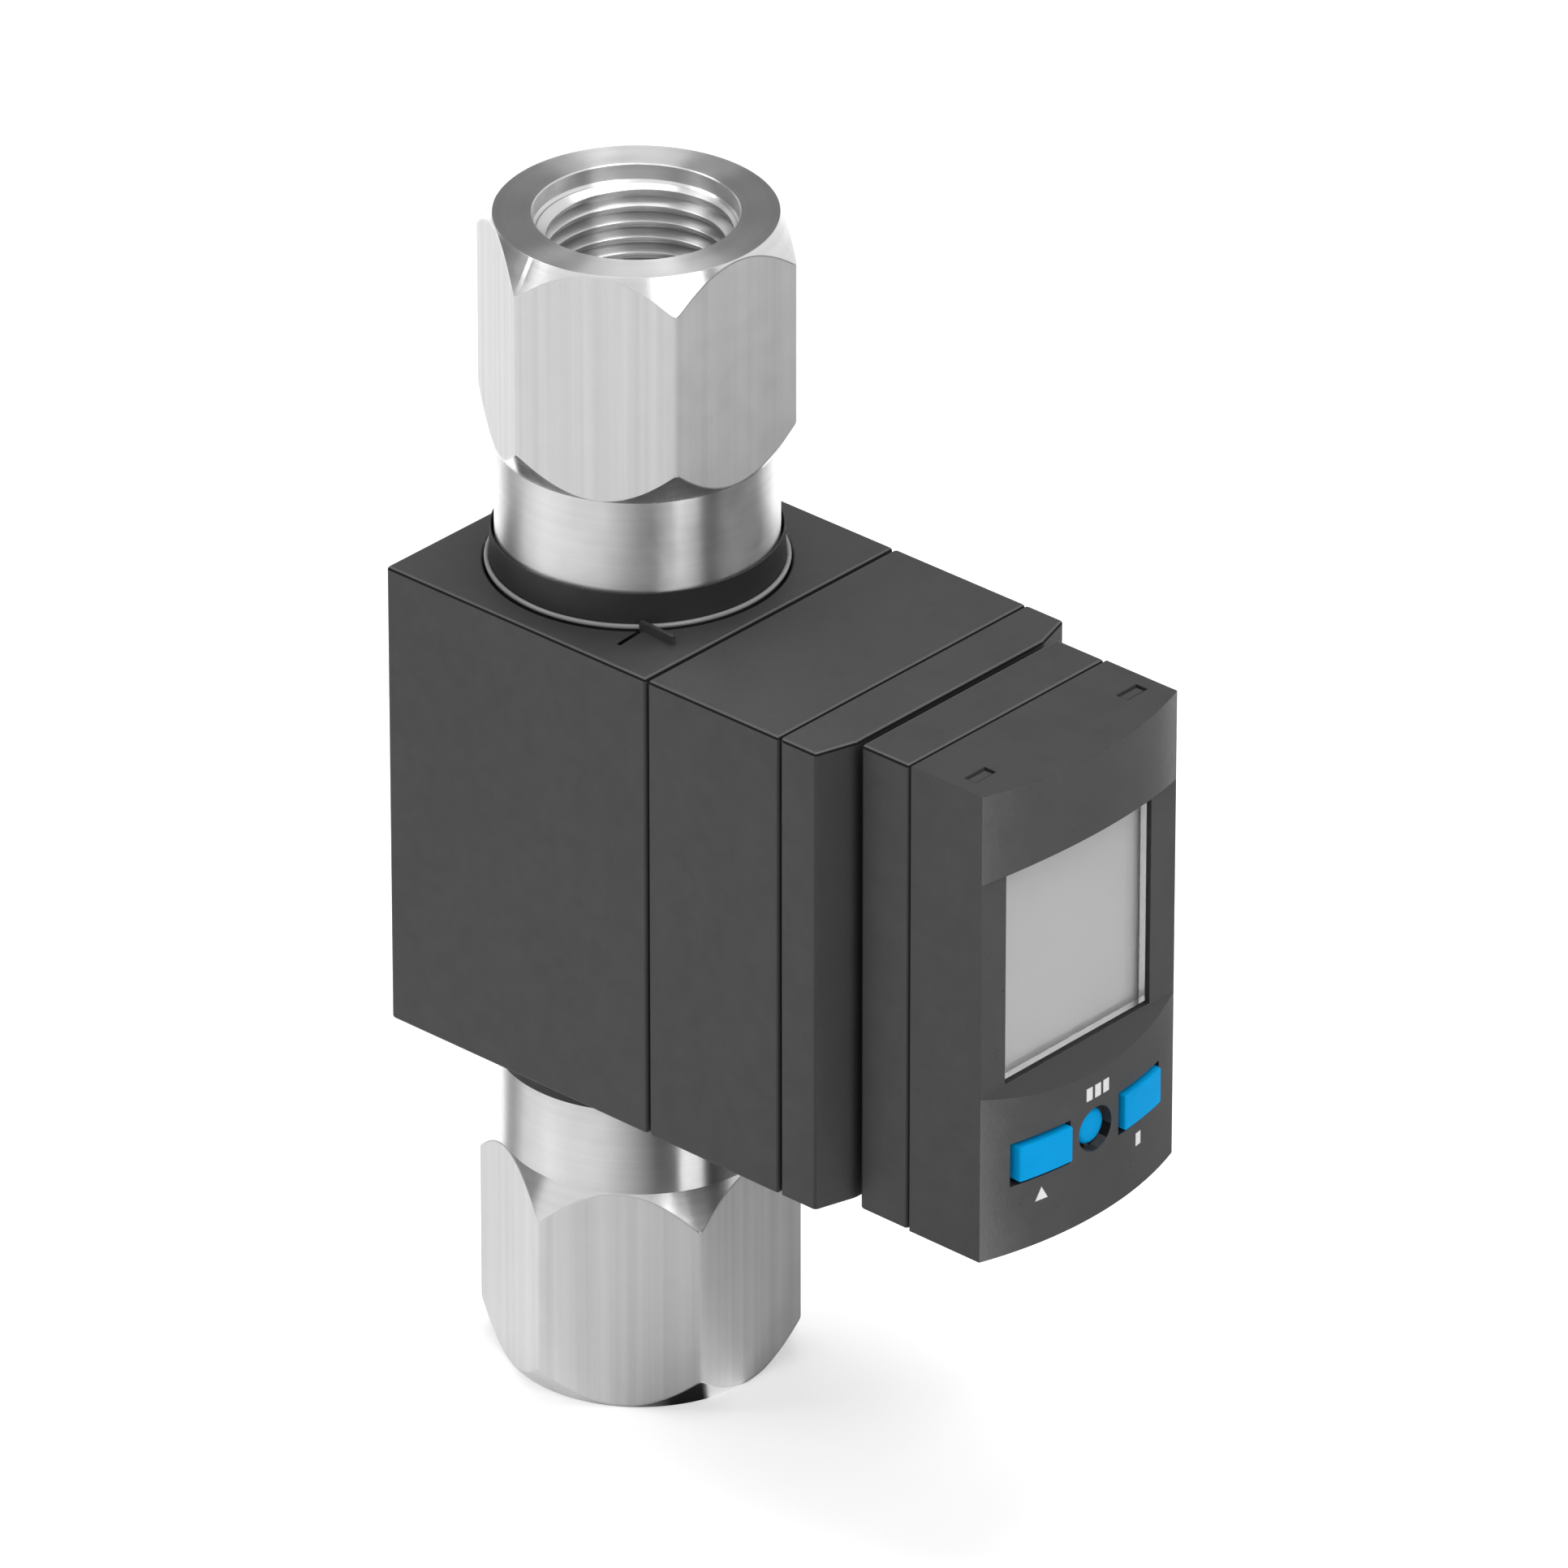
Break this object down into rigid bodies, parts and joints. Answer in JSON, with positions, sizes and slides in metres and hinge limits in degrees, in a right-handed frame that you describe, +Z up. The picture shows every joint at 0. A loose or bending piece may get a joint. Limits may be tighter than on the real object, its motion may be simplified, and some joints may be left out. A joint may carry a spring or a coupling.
{
  "type": "flow sensor",
  "caption": "Compact in-line liquid flow sensor: threaded hex ports on a vertical pipe, dark plastic housing, swivelling display head with push-buttons, round plug connector.",
  "frame": {"origin": "centre of the housing's flat rear face, at mid-height", "axes": "+Z up along the pipe, +Y out of the rear face, -Y towards the viewer of the display, +X to that viewer's right, where the plug connector is"},
  "size_m": [0.0504, 0.0824, 0.135],
  "materials": {
    "stainless": "turned and milled stainless steel",
    "housing_plastic": "finely textured moulding",
    "black_rubber": "satin",
    "tube_plastic": "moulded, glass filled",
    "zinc_steel": "zinc plated",
    "nickel_brass": "nickel plated",
    "gold_contact": "gold flashed",
    "circuit_board": "solder mask",
    "clear_window": "clear, polished",
    "display_grey": "unlit liquid crystal panel",
    "frame_white": "moulded",
    "button_blue": "satin"
  },
  "bodies": {
    "housing": {"upper_fitting": "stainless", "lower_fitting": "stainless", "upper_neck_ring": "black_rubber", "lower_neck_ring": "black_rubber", "measuring_tube": "black_rubber", "bluff_body": "stainless", "sensor_paddle": "stainless", "sensor_carrier": "tube_plastic", "sensor_seal": "black_rubber", "upper_o_ring": "black_rubber", "lower_o_ring": "black_rubber", "tube_housing": "housing_plastic", "electronics_housing": "housing_plastic", "front_block": "housing_plastic", "housing_screw_1": "zinc_steel", "housing_screw_2": "zinc_steel", "housing_screw_3": "zinc_steel", "housing_screw_4": "zinc_steel", "signal_board": "circuit_board", "sensor_lead_1": "gold_contact", "sensor_lead_2": "gold_contact", "display_lead": "black_rubber", "connector_shell": "nickel_brass", "connector_insert": "housing_plastic", "connector_pin_1": "gold_contact", "connector_pin_2": "gold_contact", "connector_pin_3": "gold_contact", "connector_pin_4": "gold_contact", "connector_pin_5": "gold_contact", "connector_nut": "nickel_brass", "connector_seal": "black_rubber", "swivel_washer": "black_rubber"},
    "display_head": {"swivel_hub": "housing_plastic", "swivel_clip": "zinc_steel", "head_back_shell": "housing_plastic", "head_bezel": "housing_plastic", "window_pane": "clear_window", "lcd_panel": "display_grey", "lcd_frame": "frame_white", "display_board": "circuit_board", "button_a_switch": "zinc_steel", "button_b_switch": "zinc_steel", "button_set_switch": "zinc_steel"},
    "push_button_a": {"button_a": "button_blue"},
    "push_button_b": {"button_b": "button_blue"},
    "push_button_set": {"button_set": "button_blue"}
  },
  "joints": [
    {"name": "head_swivel", "type": "hinge", "parent": "housing", "child": "display_head", "pos_m": [0, -0.0627, 0], "axis": [0, 1, 0], "range_deg": [-135, 135]},
    {"name": "press_a", "type": "slide", "parent": "display_head", "child": "push_button_a", "axis": [0, 1, 0], "range_m": [0, 0.0004], "stiffness_N_per_m": 400},
    {"name": "press_b", "type": "slide", "parent": "display_head", "child": "push_button_b", "axis": [0, 1, 0], "range_m": [0, 0.0004], "stiffness_N_per_m": 400},
    {"name": "press_set", "type": "slide", "parent": "display_head", "child": "push_button_set", "axis": [0, 1, 0], "range_m": [0, 0.0004], "stiffness_N_per_m": 400}
  ]
}
